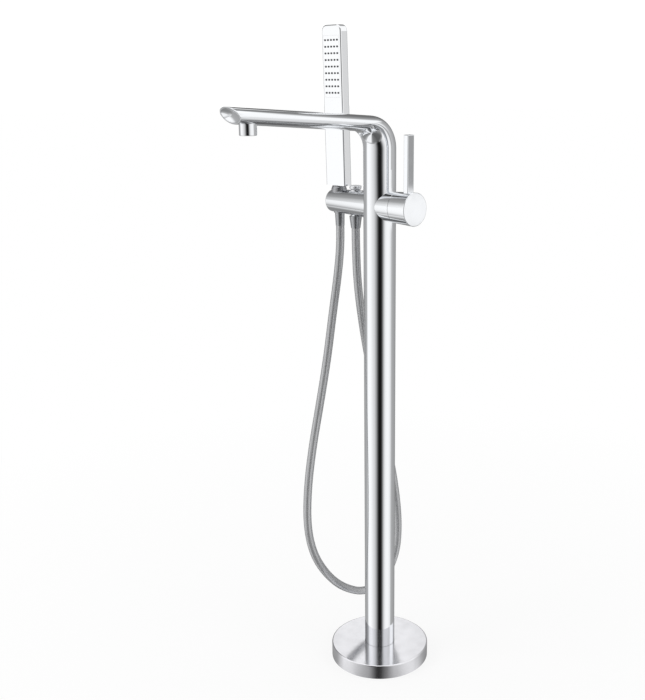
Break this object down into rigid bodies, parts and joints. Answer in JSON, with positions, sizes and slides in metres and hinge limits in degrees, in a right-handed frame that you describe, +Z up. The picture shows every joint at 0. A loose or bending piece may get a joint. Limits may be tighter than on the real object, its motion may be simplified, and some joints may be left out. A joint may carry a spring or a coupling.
{
  "type": "floor standing bath filler",
  "caption": "Round column on a floor flange with a flat spout over the bath, a tapered mixer body with a joystick lever, a lift diverter and a docked stick hand shower on a hose.",
  "frame": {"origin": "centre of the flange's underside, on the floor", "axes": "+Z up along the column; the spout points to -Y; the mixer body lies along X with its lever at +X"},
  "size_m": [0.1742, 0.3581, 0.932],
  "materials": {
    "chrome": "polished chrome plate",
    "chrome_base": "polished chrome plate on steel",
    "steel": "plain steel",
    "brass": "machined brass",
    "rubber": "matt black",
    "nozzle_rubber": "soft dark grey",
    "white_plastic": "moulded",
    "dark_plastic": "moulded",
    "ceramic": "lapped ceramic",
    "hose": "silver smooth sleeve"
  },
  "bodies": {
    "stand": {"floor_gasket": "rubber", "floor_plate": "steel", "column_screws": "steel", "column": "chrome", "spout": "chrome", "spout_end_plate": "chrome", "spout_pipe": "white_plastic", "aerator_housing": "chrome", "aerator_insert": "dark_plastic", "aerator_washer": "rubber", "valve_body": "chrome", "dome_cover": "chrome", "cartridge_nut": "brass", "cartridge_housing": "white_plastic", "cartridge_seal": "rubber", "ceramic_disc_fixed": "ceramic", "diverter_bonnet": "chrome", "diverter_spring": "steel", "outlet_nipple": "brass", "hose_nut_outlet": "chrome", "socket_bush": "white_plastic", "supply_pipe_hot": "brass", "supply_pipe_cold": "brass", "supply_connector_hot": "brass", "supply_connector_cold": "brass", "hose_upper": "hose", "hose_loop": "hose"},
    "cover": {"base_cover": "chrome_base", "cover_ring": "rubber"},
    "mixer_rotor": {"cartridge_rotor": "white_plastic", "stem_pin": "steel"},
    "lever_handle": {"cartridge_stem": "brass", "lever_hub": "chrome", "lever": "chrome", "handle_screw": "steel", "screw_plug": "chrome"},
    "disc_carriage": {"ceramic_disc_moving": "ceramic"},
    "diverter": {"diverter_knob": "chrome", "diverter_stem": "brass", "diverter_seal": "rubber"},
    "hose_end": {"hose_cone": "chrome"},
    "handset": {"handset_neck": "chrome", "handset_shell": "chrome", "spray_plate": "chrome", "nozzle_mat": "nozzle_rubber"}
  },
  "joints": [
    {"name": "cover_lift", "type": "slide", "parent": "stand", "child": "cover", "axis": [0, 0, 1], "range_m": [0, 0.04]},
    {"name": "temperature", "type": "hinge", "parent": "stand", "child": "mixer_rotor", "pos_m": [0.014, 0, 0.692], "axis": [1, 0, 0], "range_deg": [-45, 45]},
    {"name": "flow", "type": "hinge", "parent": "mixer_rotor", "child": "lever_handle", "pos_m": [0.014, 0, 0.692], "axis": [0, 1, 0], "range_deg": [0, 20]},
    {"name": "disc_slide", "type": "slide", "parent": "mixer_rotor", "child": "disc_carriage", "axis": [0, 0, 1], "range_m": [0, 0.0033]},
    {"name": "diverter_lift", "type": "slide", "parent": "stand", "child": "diverter", "axis": [0, 0, 1], "range_m": [0, 0.008], "stiffness_N_per_m": 150, "springref_m": -0.006, "deforming": ["diverter_spring"]},
    {"name": "dock_lift", "type": "slide", "parent": "stand", "child": "hose_end", "axis": [0, -0.0262, 0.9997], "range_m": [0, 0.03]},
    {"name": "handset_swivel", "type": "hinge", "parent": "hose_end", "child": "handset", "pos_m": [-0.0815, 0, 0.692], "axis": [0, -0.0262, 0.9997], "continuous": true}
  ],
  "couplings": [
    {"joint": "disc_slide", "follows": "flow", "m_per_rad": 0.00882}
  ]
}
